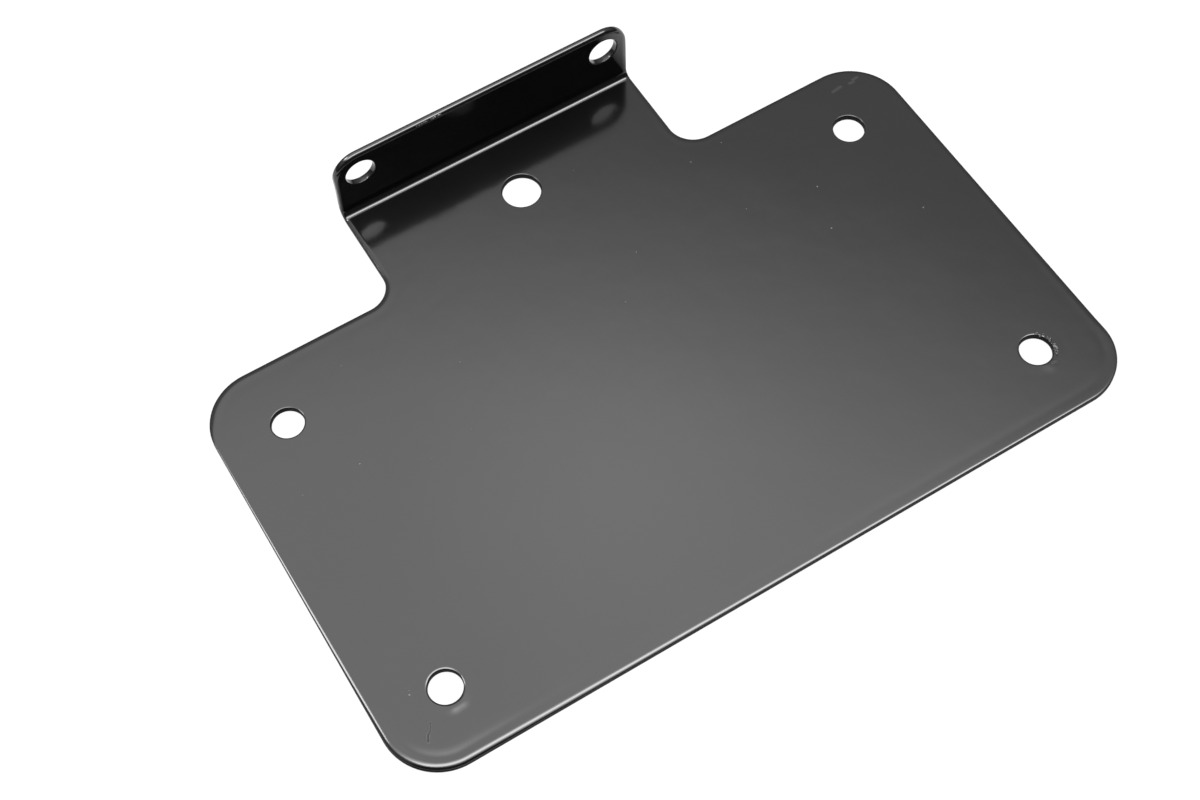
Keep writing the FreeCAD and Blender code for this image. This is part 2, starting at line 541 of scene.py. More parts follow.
@dataclass
class FlatBlank:
    """The punched and coated sheet before it is folded.

    Attributes:
        sizes: the sheet's sizes.
        grid: the distance between the points inside the skins.
        fold_rows: the rows of points across the fold.
        fold_lead: how far before and behind the fold the row beside it lies.
        bands: how far beyond the rims' sections the rings of points beside them lie.
        slack: the share of the first band by which a ring's points clear every section.
        hole_margin: how far the section of a hole's rim reaches into the sheet.
        hole_coat: how much of the outline's dip the coat has beside a hole.
        sags: the places where the powder ran together.
        sag_skin: how deep below the top the sags still lift the coat.
    """

    sizes: SheetSizes
    grid: float = 3 * MM
    fold_rows: int = 14
    fold_lead: float = 0.2 * MM
    bands: tuple[float, ...] = tuple(gap * MM for gap in (0.3, 0.6, 1.0, 1.5, 2.1, 2.8, 3.6))
    slack: float = 0.9
    hole_margin: float = 0.75 * MM
    hole_coat: float = 0.4
    sags: tuple[Sag, ...] = ()
    sag_skin: float = 0.2 * MM
    vertices: list[Place] = field(default_factory=list)
    faces: list[tuple[int, ...]] = field(default_factory=list)

    def __post_init__(self) -> None:
        """Set out the outline, the holes and the rim's section."""
        sizes = self.sizes
        self.section = RimSection(sizes.thickness, sizes.burr_round)
        self.hole_section = replace(self.section, margin=self.hole_margin)
        self.roll = Roll((-sizes.panel_width / 2, sizes.panel_front))
        start, length = sizes.fold_start, sizes.fold_length
        rows = [start + length * row / self.fold_rows for row in range(self.fold_rows + 1)]
        self.crossings = [start - self.fold_lead, *rows, start + length + self.fold_lead]
        self.loops = [Outline(sizes.corners(), self.crossings), *sizes.holes()]
        self.inner_rings = [loop.ring(self.section_of(loop).margin) for loop in self.loops]

    def section_of(self, loop: Outline | Hole) -> RimSection:
        """The section of the rim round the outline or round a hole."""
        return self.hole_section if isinstance(loop, Hole) else self.section

    def coat_share(self, loop: Outline | Hole, points: np.ndarray) -> np.ndarray:
        """How much of its dip the coat has beside the outline or a hole."""
        share = self.roll.coat_share(points)
        return self.hole_coat * share if isinstance(loop, Hole) else share

    def add_rim(self, loop: Outline | Hole) -> tuple[list[int], list[int]]:
        """Add the rim round the outline or round a hole.

        Args:
            loop: what the rim runs round.

        Returns:
            The indices of its innermost ring on the underside, and on the top.
        """
        rings: list[list[int]] = []
        edge = loop.ring(0.0)
        section = self.section_of(loop)
        inward = (loop.ring(section.margin) - edge) / section.margin
        slope, radius = self.roll.at(edge, isinstance(loop, Hole))
        for insets, heights in section.steps(slope, radius, self.coat_share(loop, edge)):
            first = len(self.vertices)
            places = np.column_stack((edge + inward * insets[:, None], heights))
            self.vertices.extend(map(tuple, places.tolist()))
            rings.append(list(range(first, first + len(edge))))
        for lower, upper in zip(rings, rings[1:]):
            for index in range(len(lower)):
                after = (index + 1) % len(lower)
                self.faces.append((lower[index], lower[after], upper[after], upper[index]))
        return rings[0], rings[-1]

    def clear(self, points: np.ndarray, gap: float) -> np.ndarray:
        """The points that lie on the sheet with a gap to every rim's section."""
        points = points[within(points, self.inner_rings)]
        for loop in self.loops:
            points = points[loop.insets(points) > self.section_of(loop).margin + gap]
        return points

    def inner_points(self, skin: Skin) -> np.ndarray:
        """The points inside a skin: bands beside the rims, then a plain grid.

        Args:
            skin: the face of the sheet.

        Returns:
            The points, all of them clear of every rim and of the fold's rows.
        """
        sizes, spare = self.sizes, self.grid / 3
        bands = self.bands if skin is Skin.ROLLED else (self.bands[0],)
        kept = []
        least = bands[0] * self.slack
        for loop in self.loops:
            margin = self.section_of(loop).margin
            kept.extend(self.clear(loop.ring(margin + gap), least) for gap in bands)
        across = np.arange(-sizes.panel_width / 2, sizes.panel_width / 2, self.grid)
        along = np.arange(sizes.panel_front, sizes.unfolded(sizes.flange_height), self.grid)
        grid = np.array(np.meshgrid(across, along)).reshape(2, -1).T
        kept.append(self.clear(grid, bands[-1] + spare))
        points = np.concatenate(kept)
        low, high = self.crossings[0] - spare, self.crossings[-1] + spare
        return points[(points[:, 1] < low) | (points[:, 1] > high)]

    def row(self, rim: np.ndarray, place: float) -> tuple[int, int, np.ndarray]:
        """A row of points that runs across the fold from one side of the neck to the other.

        Args:
            rim: the points of the outline's innermost ring.
            place: the row's place along the sheet.

        Returns:
            The row's first and last point on the rim, and the points between them.
        """
        on_row = np.flatnonzero(np.abs(rim[:, 1] - place) < NEAR)
        ends = on_row[np.argsort(rim[on_row, 0])]
        left, right = rim[ends[0], 0], rim[ends[-1], 0]
        across = np.arange(left + self.grid, right - self.grid / 2, self.grid)
        return ends[0], ends[-1], np.column_stack((across, np.full(len(across), place)))

    def add_skin(self, skin: Skin, rims: list[list[int]]) -> None:
        """Fill one face of the sheet between its rims.

        Args:
            skin: the face of the sheet.
            rims: the innermost ring of each rim on this face, the outline's first.
        """
        parts = list(self.inner_rings)
        known = [index for rim in rims for index in rim]
        edges: list[tuple[int, int]] = []
        for rim in rims:
            first = len(edges)
            edges.extend((first + i, first + (i + 1) % len(rim)) for i in range(len(rim)))
        count = len(known)
        for place in self.crossings:
            left, right, between = self.row(self.inner_rings[0], place)
            chain = [left, *range(count, count + len(between)), right]
            edges.extend(zip(chain, chain[1:]))
            count += len(between)
            parts.append(between)
        parts.append(self.inner_points(skin))
        flat = [Vector(point) for point in np.concatenate(parts)]
        inside_edges, merge_below, with_sources = 1, NEAR / 100, True
        result = delaunay_2d_cdt(flat, edges, [], inside_edges, merge_below, with_sources)
        places, _, triangles, sources = result[:4]
        points = np.array(places)
        index_of: list[int] = []
        for place, height, source in zip(points.tolist(), self.heights(skin, points), sources):
            rim_points = [known[i] for i in source if i < len(known)]
            if not rim_points:
                rim_points = [len(self.vertices)]
                self.vertices.append((*place, float(height)))
            index_of.append(rim_points[0])
        corners = np.array(triangles)
        on_sheet = within(points[corners].mean(axis=1), self.inner_rings)
        turn = 1 if skin is Skin.ROLLED else -1
        for triangle in corners[on_sheet].tolist():
            self.faces.append(tuple(index_of[i] for i in triangle[::turn]))

    def heights(self, skin: Skin, points: np.ndarray) -> np.ndarray:
        """The height of a skin, with the coat's dip beside the rims."""
        if skin is Skin.BURR:
            return np.zeros(len(points))
        dips = [
            self.coat_share(loop, points) * self.section.coat(loop.insets(points))
            for loop in self.loops
        ]
        return self.sizes.thickness + sum(dips)

    def sagged(self) -> list[Place]:
        """The points, with those of the upper skin lifted where the powder ran together."""
        places = np.array(self.vertices)
        depth = (self.sizes.thickness - places[:, 2]) / self.sag_skin
        share = np.clip(1 - depth, 0.0, 1.0)
        for sag in self.sags:
            places[:, 2] += share * sag.heights(places[:, :2])
        return places.tolist()

    def build(self) -> bpy.types.Object:
        """Make the blank's mesh.

        Returns:
            The flat blank, closed and with its faces outwards.
        """
        rims = [self.add_rim(loop) for loop in self.loops]
        self.add_skin(Skin.BURR, [rim[0] for rim in rims])
        self.add_skin(Skin.ROLLED, [rim[1] for rim in rims])
        mesh = bpy.data.meshes.new("coated_sheet")
        mesh.from_pydata(self.sagged(), [], self.faces)
        shell = bmesh.new()
        shell.from_mesh(mesh)
        bmesh.ops.remove_doubles(shell, verts=shell.verts, dist=NEAR / 10)
        bmesh.ops.recalc_face_normals(shell, faces=shell.faces)
        open_edges = sum(not edge.is_manifold for edge in shell.edges)
        shell.to_mesh(mesh)
        shell.free()
        LOG.info("flat blank: %d vertices, %d open edges", len(mesh.vertices), open_edges)
        return placed("coated_sheet", mesh)


def placed(name: str, data: bpy.types.ID) -> bpy.types.Object:
    """Put a mesh, lamp or camera into the scene, at the origin."""
    item = bpy.data.objects.new(name, data)
    bpy.context.collection.objects.link(item)
    return item


@dataclass
class NodeSheet:
    """A node tree under construction, with short calls to add and link its nodes."""

    tree: bpy.types.NodeTree

    @classmethod
    def group(
        cls, name: str, kind: str, inputs: dict[str, str], outputs: dict[str, str]
    ) -> "NodeSheet":
        """Start a node group.

        Args:
            name: the group's name.
            kind: the type of its tree.
            inputs: the type of each input, by name.
            outputs: the type of each output, by name.

        Returns:
            The group's sheet.
        """
        tree = bpy.data.node_groups.new(name, kind)
        for side, sockets in (("INPUT", inputs), ("OUTPUT", outputs)):
            for socket, shape in sockets.items():
                tree.interface.new_socket(socket, in_out=side, socket_type=f"NodeSocket{shape}")
        return cls(tree)

    @classmethod
    def cleared(cls, owner: bpy.types.Material | bpy.types.World) -> "NodeSheet":
        """Start the empty node tree of a material or of the world."""
        owner.use_nodes = True
        owner.node_tree.nodes.clear()
        return cls(owner.node_tree)

    def add(
        self, kind: str, inputs: dict[str | int, object] | None = None, **settings: object
    ) -> bpy.types.Node:
        """Add a node.

        Args:
            kind: the node's type.
            inputs: what feeds its inputs, each a socket or a plain value.
            settings: its plain properties.

        Returns:
            The node.
        """
        node = self.tree.nodes.new(kind)
        for name, value in settings.items():
            setattr(node, name, value)
        for name, value in (inputs or {}).items():
            self.feed(value, node.inputs[name])
        return node

    def feed(self, value: object, target: Socket) -> None:
        """Link a socket to a target, or set the target to a plain value."""
        if isinstance(value, Socket):
            self.tree.links.new(value, target)
        else:
            target.default_value = value

    def math(self, operation: str, *values: object, clamp: bool = False) -> Socket:
        """Work out a number from sockets or plain numbers."""
        inputs = dict(enumerate(values))
        return self.add("ShaderNodeMath", inputs, operation=operation, use_clamp=clamp).outputs[0]

    def largest(self, *values: Socket) -> Socket:
        """The largest of several numbers."""
        return reduce(lambda most, value: self.math("MAXIMUM", most, value), values)

    def ramp(self, value: Socket, limits: Ramp, smooth: bool = False) -> Socket:
        """Map a number to another range, held at both ends.

        Args:
            value: the number.
            limits: where the ramp starts and ends, then its results there.
            smooth: whether it eases in and out.

        Returns:
            The result.
        """
        names = ("Value", "From Min", "From Max", "To Min", "To Max")
        inputs = dict(zip(names, (value, *limits)))
        kind = "SMOOTHSTEP" if smooth else "LINEAR"
        return self.add("ShaderNodeMapRange", inputs, interpolation_type=kind).outputs[0]

    def split(self, vector: Socket) -> list[Socket]:
        """The three parts of a vector."""
        return list(self.add("ShaderNodeSeparateXYZ", {0: vector}).outputs)

    def join(self, *parts: object) -> Socket:
        """A vector of three parts."""
        return self.add("ShaderNodeCombineXYZ", dict(enumerate(parts))).outputs[0]

    def place(self) -> Socket:
        """The place in the object's own metres."""
        return self.add("ShaderNodeTexCoord").outputs["Object"]

    def noise(self, place: Socket, scale: object, detail: float) -> Socket:
        """A noise's value, from 0 to 1."""
        inputs = {"Vector": place, "Scale": scale, "Detail": detail}
        return self.add("ShaderNodeTexNoise", inputs).outputs[0]

    def is_ray(self, ray: Ray) -> Socket:
        """Whether a ray is of one kind."""
        return self.add("ShaderNodeLightPath").outputs[ray.value]

    def seen_as_white(self) -> Socket:
        """Whether a ray sees the studio as plain white."""
        path = self.add("ShaderNodeLightPath").outputs
        return self.largest(*(path[ray.value] for ray in Ray))

    def blend(self, share: Socket, first: Socket | Colour, second: Colour) -> Socket:
        """Blend two colours."""
        inputs = {"Factor": share, "A": first, "B": second}
        return self.add("ShaderNodeMix", inputs, data_type="RGBA").outputs["Result"]

    def mix(self, mask: Socket, first: bpy.types.Node, second: bpy.types.Node) -> bpy.types.Node:
        """Mix two shaders."""
        return self.add("ShaderNodeMixShader", {0: mask, 1: first.outputs[0], 2: second.outputs[0]})

    def chance(self, low: Socket, high: Socket, seed: Socket) -> Socket:
        """A random number between two others for each point."""
        node = self.add("FunctionNodeRandomValue", {"Seed": seed}, data_type="FLOAT")
        least, most = [socket for socket in node.inputs if socket.type == "VALUE"][:2]
        self.feed(low, least)
        self.feed(high, most)
        return next(socket for socket in node.outputs if socket.type == "VALUE")

    def finish(self, geometry: Socket, material: Socket) -> bpy.types.NodeTree:
        """End a geometry tree: make its instances real and smooth, and give them a material."""
        real = self.add("GeometryNodeRealizeInstances", {0: geometry})
        smooth = self.add("GeometryNodeSetShadeSmooth", {0: real.outputs[0]})
        dressed = {"Geometry": smooth.outputs[0], "Material": material}
        self.add("NodeGroupOutput", {0: self.add("GeometryNodeSetMaterial", dressed).outputs[0]})
        return self.tree

    def stroke(self, place: Socket, start: Point, end: Point, width: float) -> Socket:
        """A mask of a straight stroke on the panel.

        Args:
            place: the place in the object's own metres.
            start: where the stroke starts, in millimetres.
            end: where it ends, in millimetres.
            width: how far it reaches to either side, in millimetres.

        Returns:
            1 on the stroke and 0 away from it, with a soft border.
        """
        origin = (start[0] * MM, start[1] * MM, 0.0)
        away = self.add("ShaderNodeVectorMath", {0: place, 1: origin}, operation="SUBTRACT")
        x, y, _ = self.split(away.outputs[0])
        along_x, along_y = (end[0] - start[0]) * MM, (end[1] - start[1]) * MM
        square = along_x**2 + along_y**2
        across = self.math("MULTIPLY", x, along_x / square)
        share = self.math("MULTIPLY_ADD", y, along_y / square, across, clamp=True)
        rest_x = self.math("MULTIPLY_ADD", share, -along_x, x)
        rest_y = self.math("MULTIPLY_ADD", share, -along_y, y)
        squares = self.math("MULTIPLY_ADD", rest_x, rest_x, self.math("MULTIPLY", rest_y, rest_y))
        gap = self.math("SQRT", squares)
        return self.math("SUBTRACT", STROKE_END, self.math("DIVIDE", gap, width * MM), clamp=True)


def applied(
    carrier: bpy.types.Object, tree: bpy.types.NodeTree, values: dict[str, object], name: str
) -> bpy.types.Object:
    """Run a geometry node tree on an object and keep the result as a plain mesh.

    Args:
        carrier: the object that the tree starts from, which is removed.
        tree: the tree.
        values: the tree's inputs by name.
        name: the finished piece's name.

    Returns:
        The finished piece, at the origin.
    """
    modifier = carrier.modifiers.new(name, "NODES")
    modifier.node_group = tree
    for item in tree.interface.items_tree:
        if item.in_out == "INPUT" and item.name in values:
            modifier[item.identifier] = values[item.name]
    depsgraph = bpy.context.evaluated_depsgraph_get()
    mesh = bpy.data.meshes.new_from_object(carrier.evaluated_get(depsgraph))
    mesh.name = name
    old_mesh = carrier.data
    bpy.data.objects.remove(carrier)
    bpy.data.meshes.remove(old_mesh)
    return placed(name, mesh)


@dataclass
class FoldTree:
    """A geometry node tree that folds a flat sheet up along one line."""

    sizes: SheetSizes
    material: bpy.types.Material

    def tree(self) -> bpy.types.NodeTree:
        """Build the tree, with the fold's sizes as its named inputs."""
        numbers = dict.fromkeys(("Fold Start", "Fold Length", "Outer Radius", "Angle"), "Float")
        inputs = {"Sheet": "Geometry", **numbers, "Finish": "Material"}
        sheet = NodeSheet.group("fold_up", "GeometryNodeTree", inputs, {"Folded": "Geometry"})
        given = sheet.add("NodeGroupInput").outputs
        start, length, radius = given["Fold Start"], given["Fold Length"], given["Outer Radius"]
        x, y, z = sheet.split(sheet.add("GeometryNodeInputPosition").outputs[0])
        past = sheet.math("SUBTRACT", y, start)
        share = sheet.math("DIVIDE", past, length, clamp=True)
        turn = sheet.math("MULTIPLY", share, given["Angle"])
        beyond = sheet.math("MAXIMUM", sheet.math("SUBTRACT", past, length), 0.0)
        reach = sheet.math("SUBTRACT", radius, z)
        sine, cosine = sheet.math("SINE", turn), sheet.math("COSINE", turn)
        bent_y = sheet.math("MULTIPLY_ADD", reach, sine, sheet.math("MINIMUM", y, start))
        bent_z = sheet.math("SUBTRACT", radius, sheet.math("MULTIPLY", reach, cosine))
        new_y = sheet.math("MULTIPLY_ADD", beyond, cosine, bent_y)
        new_z = sheet.math("MULTIPLY_ADD", beyond, sine, bent_z)
        moved = {"Geometry": given["Sheet"], "Position": sheet.join(x, new_y, new_z)}
        bent = sheet.add("GeometryNodeSetPosition", moved)
        return sheet.finish(bent.outputs[0], given["Finish"])

    def apply(self, blank: bpy.types.Object, name: str) -> bpy.types.Object:
        """Fold a blank and turn the result into a plain mesh.

        Args:
            blank: the flat piece, which is removed.
            name: the finished piece's name.

        Returns:
            The folded piece, at the origin.
        """
        values = {
            "Fold Start": self.sizes.fold_start,
            "Fold Length": self.sizes.fold_length,
            "Outer Radius": self.sizes.bend_outer,
            "Angle": pi / 2,
            "Finish": self.material,
        }
        return applied(blank, self.tree(), values, name)


@dataclass(frozen=True)
class PowderCoat:
    """Semi-gloss black powder coat with a fine orange peel.

    Attributes:
        dark: its darkest colour.
        light: its lightest colour, where the mottle is strongest.
        roughness: its least and greatest roughness.
        bare: the colour of dust and of scraped powder, and a painted glint on the pale domes of the
            blister and the chips.
        scrape_share: how much of that colour a scrape shows.
        worn_gain: how much rougher it is where it is rubbed or dusty.
        peel_scale: the fineness of the peel.
        peel_height: the height of the peel.
        waves: the height of the long waves under the peel, as a multiple of it.
        mottle_scale: the fineness of the mottle, as a share of the peel's.
        wave_scale: the fineness of the waves, in the same way.
        rubbed: the dull marks, each with its two ends and its width in millimetres.
        scraped: the pale marks, in the same way.
    """

    dark: Colour = (0.0012, 0.0012, 0.0012, 1.0)
    light: Colour = (0.003, 0.003, 0.0029, 1.0)
    roughness: Point = (0.12, 0.15)
    bare: Colour = (0.12, 0.12, 0.12, 1.0)
    scrape_share: float = 0.13
    worn_gain: float = 0.6
    ior: float = 1.55
    peel_scale: float = 420.0
    peel_height: float = 0.0012 * MM
    waves: float = 20.0
    mottle_scale: float = 0.12
    wave_scale: float = 0.3
    rubbed: tuple[Stroke, ...] = (
        ((-81.4, -43.1), (-80.7, -41.8), 0.26),
        ((-80.7, -41.8), (-80.0, -41.5), 0.24),
        ((-80.0, -41.5), (-79.2, -39.8), 0.16),
        ((73.9, -39.3), (74.8, -39.5), 0.24),
    )
    scraped: tuple[Stroke, ...] = (
        ((75.9, 45.6), (78.3, 45.9), 0.34),
        ((80.6, 45.6), (81.8, 45.5), 0.3),
        ((81.9, 46.1), (83.1, 46.1), 0.3),
    )

    def peel_group(self) -> bpy.types.NodeTree:
        """A group that gives the coat's peel and waves as a height and a mottle as a mask."""
        inputs = {"Place": "Vector", "Scale": "Float", "Waves": "Float"}
        outputs = {"Height": "Float", "Mottle": "Float"}
        sheet = NodeSheet.group("orange_peel", "ShaderNodeTree", inputs, outputs)
        place, scale, strength = list(sheet.add("NodeGroupInput").outputs)[:3]
        peel = sheet.noise(place, scale, detail=1.5)
        coarse, middle = (
            sheet.math("MULTIPLY", scale, share) for share in (self.mottle_scale, self.wave_scale)
        )
        mottle = sheet.noise(place, coarse, detail=3.0)
        waves = sheet.noise(place, middle, detail=2.0)
        height = sheet.math("MULTIPLY_ADD", waves, strength, peel)
        sheet.add("NodeGroupOutput", {"Height": height, "Mottle": mottle})
        return sheet.tree

    def marks_group(self) -> bpy.types.NodeTree:
        """A group that gives the rubbed marks and the light scrapes as masks."""
        outputs = {"Rubbed": "Float", "Scraped": "Float"}
        sheet = NodeSheet.group("handling_marks", "ShaderNodeTree", {"Place": "Vector"}, outputs)
        place = sheet.add("NodeGroupInput").outputs["Place"]
        masks = [
            sheet.largest(*(sheet.stroke(place, *mark) for mark in marks))
            for marks in (self.rubbed, self.scraped)
        ]
        sheet.add("NodeGroupOutput", dict(zip(outputs, masks)))
        return sheet.tree

    def material(self) -> bpy.types.Material:
        """Build the coat's material."""
        material = bpy.data.materials.new("powder_coat")
        material.use_nodes = True
        sheet = NodeSheet(material.node_tree)
        place = sheet.place()
        given = {"Place": place, "Scale": self.peel_scale, "Waves": self.waves}
        peel = sheet.add("ShaderNodeGroup", given, node_tree=self.peel_group()).outputs
        marks = sheet.add("ShaderNodeGroup", {"Place": place}, node_tree=self.marks_group()).outputs
        powder = sheet.blend(peel["Mottle"], self.dark, self.light)
        # The domes' shade: dust on the nibs. In the blister and the chips, the pale domes are partly
        # painted glints.
        dust = sheet.add("ShaderNodeAttribute", attribute_name=DUST_AND_GLINT).outputs["Fac"]
        scraped = sheet.math("MULTIPLY", marks["Scraped"], self.scrape_share)
        dusty = sheet.math("GREATER_THAN", sheet.math("ABSOLUTE", dust), 0.0)
        rubbed = sheet.largest(marks["Rubbed"], dusty)
        gloss = sheet.ramp(peel["Mottle"], (0.0, 1.0, *self.roughness))
        relief = {"Height": peel["Height"], "Distance": self.peel_height}
        finish = {
            "Base Color": sheet.blend(sheet.largest(scraped, dust), powder, self.bare),
            "Roughness": sheet.math("MULTIPLY_ADD", rubbed, self.worn_gain, gloss),
            "Normal": sheet.add("ShaderNodeBump", relief).outputs[0],
            "IOR": self.ior,
        }
        for name, value in finish.items():
            sheet.feed(value, material.node_tree.nodes["Principled BSDF"].inputs[name])
        return material


@dataclass(frozen=True)
class Lamp:
    """A soft lamp.

    Attributes:
        name: its name.
        place: its centre.
        target: the point that it faces.
        width: its width.
        height: its height.
        glow: its brightness as seen from straight in front, where 1 is white.
        shape: its outline.
    """

    name: str
    place: Place
    target: Place
    width: float
    height: float
    glow: float
    shape: LampShape = LampShape.RECTANGLE

    def build(self) -> bpy.types.Object:
        """Make the lamp."""
        area = self.width * self.height * (pi / 4 if self.shape is LampShape.DISK else 1.0)
        data = bpy.data.lights.new(self.name, "AREA")
        data.shape = self.shape.value
        data.size, data.size_y = self.width, self.height
        data.energy = self.glow * pi * area
        lamp = placed(self.name, data)
        lamp.location = self.place
        facing = Vector(self.target) - Vector(self.place)
        lamp.rotation_euler = facing.to_track_quat("-Z", "Y").to_euler()
        lamp.visible_camera = False
        return lamp


def soft_disc(
    name: str, place: Place, inner: float, outer: float, glow: float, count: int = 5
) -> tuple[Lamp, ...]:
    """A round soft box that fades towards its rim, as discs of growing size in one place.

    Args:
        name: its name.
        place: its centre.
        inner: the radius at which it starts to fade.
        outer: the radius at which it ends.
        glow: its brightness in the middle.
        count: how many discs it has.

    Returns:
        The discs.
    """
    x, y, height = place
    lamps = []
    for step in range(count):
        width = 2 * (inner + (outer - inner) * step / (count - 1))
        above = (x, y, height + LAMP_GAP * step)
        below, level = (x, y, 0.0), glow / count
        lamps.append(Lamp(f"{name}_{step}", above, below, width, width, level, LampShape.DISK))
    return tuple(lamps)


def soft_strip(
    name: str, place: Place, length: float, widths: tuple[float, ...], glow: float
) -> tuple[Lamp, ...]:
    """A long soft box with a bright core, as strips of growing width in one place.

    Args:
        name: its name.
        place: its centre.
        length: the core's length.
        widths: the width of each strip, the core's first.
        glow: its brightness in the middle. Each strip has half the glow of the one before.

    Returns:
        The strips.
    """
    x, y, height = place
    shares = [0.5**step for step in range(len(widths))]
    lamps = []
    for step, (width, share) in enumerate(zip(widths, shares)):
        centre = (x, y, height - LAMP_GAP * step)
        long, level = length + width - widths[0], glow * share / sum(shares)
        lamps.append(Lamp(f"{name}_{step}", centre, (x, y, 0.0), long, width, level))
    return tuple(lamps)


@dataclass(frozen=True)
class Studio:
    """A white table under soft lamps.

    Attributes:
        footprint: the lowest and highest corner of the panel and of the neck, seen from above.
        floor_size: the table's width.
        floor_colour: the colour of its lit share.
        shadow_share: the share of its look that is lit, and so takes a shadow.
        shade_limits: how far from the bracket that share starts to fade, where it ends, and how
            plain the table is at both.
        gloss_share: how much darker the coat sees the table.
        painted_contact_shadow: a painted shadow, the dark colour that the coat sees on the table
            under and beside the bracket.
        painted_shadow_reach: how far beside the bracket that painted shadow reaches.
        fill: the light of the air.
        dark_front: how dark the coat sees the air in front, by the Y part of the direction.
        dark_low: how dark it sees the low air, by the Z part.
    """

    footprint: tuple[tuple[Point, Point], tuple[Point, Point]]
    floor_size: float = 6.0
    floor_colour: Colour = (0.7, 0.7, 0.7, 1.0)
    white: Colour = (1.0, 1.0, 1.0, 1.0)
    shadow_share: float = 0.14
    shade_limits: Ramp = (0.25, 0.8, 0.0, 1.0)
    gloss_share: float = 0.6
    # The dark table colour is a painted contact shadow, seen only in the gloss.
    painted_contact_shadow: Colour = (0.08, 0.08, 0.08, 1.0)
    painted_shadow_reach: float = 6 * MM
    fill: float = 0.1
    dark_front: Ramp = (-0.15, -0.4, 0.0, 0.9)
    dark_low: Ramp = (0.95, 0.1, 0.0, 0.8)
    lamps: tuple[Lamp, ...] = (
        *soft_strip("strip", (0.04, -0.08, 0.88), 0.9, (0.18, 0.28, 0.4, 0.54), 14.0),
        Lamp("left", (-0.50, 0.40, 0.80), (0.0, 0.0, 0.0), 0.30, 0.26, 15.0),
        *soft_disc("overhead", (-0.077, 0.068, 0.9), 0.50, 0.70, 1.88),
        *soft_disc("middle", (0.212, 0.383, 0.95), 0.03, 0.15, 0.66, 3),
    )

    def floor_material(self) -> bpy.types.Material:
        """White to the eye, with a lit share for the bracket's shadow, and a painted shadow in the
        gloss.
        """
        material = bpy.data.materials.new("white_table")
        sheet = NodeSheet.cleared(material)
        lit = sheet.add("ShaderNodeBsdfDiffuse", {"Color": self.floor_colour})
        glow = sheet.add("ShaderNodeEmission", {"Color": self.white})
        # A painted contact shadow: the dark table colour that the gloss sees under and beside the
        # bracket.
        dark = sheet.add("ShaderNodeBsdfDiffuse", {"Color": self.painted_contact_shadow})
        glossy = sheet.is_ray(Ray.GLOSSY)
        seen = sheet.math("MULTIPLY", sheet.seen_as_white(), 1.0 - self.shadow_share)
        less = sheet.math("MULTIPLY", glossy, self.gloss_share)
        near = sheet.math("SUBTRACT", seen, less, clamp=True)
        away = sheet.add("ShaderNodeVectorMath", {0: sheet.place()}, operation="LENGTH")
        far = sheet.ramp(away.outputs["Value"], self.shade_limits)
        plain = sheet.math("MULTIPLY", far, sheet.is_ray(Ray.CAMERA))
        table = sheet.mix(sheet.largest(near, plain), lit, glow)
        # The gloss sees the painted shadow under and beside the bracket.
        whole = sheet.mix(sheet.math("MULTIPLY", self.beside(sheet), glossy), table, dark)
        sheet.add("ShaderNodeOutputMaterial", {"Surface": whole.outputs[0]})
        return material

    def beside(self, sheet: NodeSheet) -> Socket:
        """A mask of the painted shadow on the table under the panel and the neck and close beside
        them.
        """
        place = sheet.split(sheet.place())
        gaps = []
        for low, high in self.footprint:
            sides = []
            for axis in range(2):
                away = sheet.math("SUBTRACT", place[axis], (low[axis] + high[axis]) / 2)
                half = (high[axis] - low[axis]) / 2
                sides.append(sheet.math("SUBTRACT", sheet.math("ABSOLUTE", away), half))
            gaps.append(sheet.largest(*sides))
        gap = sheet.math("MINIMUM", *gaps)
        return sheet.math("SUBTRACT", 1.0, sheet.math("DIVIDE", gap, self.painted_shadow_reach), clamp=True)

    def world(self) -> bpy.types.World:
        """White to the eye and in the gloss, but for a dark front, and a low fill as light."""
        world = bpy.data.worlds.new("studio_air")
        sheet = NodeSheet.cleared(world)
        level = sheet.ramp(sheet.seen_as_white(), (0.0, 1.0, self.fill, 1.0))
        _, ahead, up = sheet.split(sheet.add("ShaderNodeTexCoord").outputs["Generated"])
        front = sheet.ramp(ahead, self.dark_front, smooth=True)
        low = sheet.ramp(up, self.dark_low, smooth=True)
        dark = sheet.math("MULTIPLY", sheet.largest(front, low), sheet.is_ray(Ray.GLOSSY))
        seen = sheet.math("SUBTRACT", level, dark, clamp=True)
        air = sheet.add("ShaderNodeBackground", {"Color": self.white, "Strength": seen})
        sheet.add("ShaderNodeOutputWorld", {"Surface": air.outputs[0]})
        return world

    def build(self) -> None:
        """Make the table, the lamps and the world."""
        mesh = bpy.data.meshes.new("table")
        half = self.floor_size / 2
        corners = [(-half, -half, 0.0), (half, -half, 0.0), (half, half, 0.0), (-half, half, 0.0)]
        mesh.from_pydata(corners, [], [(0, 1, 2, 3)])
        mesh.materials.append(self.floor_material())
        table = placed("table", mesh)
        table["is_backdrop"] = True
        for lamp in self.lamps:
            lamp.build()
        bpy.context.scene.world = self.world()
        bpy.context.scene.view_settings.view_transform = "Standard"
        LOG.info("studio: %d lamps", len(self.lamps))


@dataclass(frozen=True)
class PhotoCamera:
    """The camera at the photograph's own place and angle."""

    place: Place = (-0.1108, -0.1693, 0.36645)
    turn_deg: Place = (29.876, 2.353, -30.626)
    lens_mm: float = 58.06
    shift: Point = (0.04106, -0.0351)
    clip_start: float = 0.01

    def build(self) -> bpy.types.Object:
        """Make the camera and give it to the scene."""
        data = bpy.data.cameras.new("photo_camera")
        data.lens = self.lens_mm
        data.shift_x, data.shift_y = self.shift
        data.clip_start = self.clip_start
        camera = placed("photo_camera", data)
        camera.location = self.place
        camera.rotation_euler = Euler([radians(angle) for angle in self.turn_deg])
        bpy.context.scene.camera = camera
        return camera


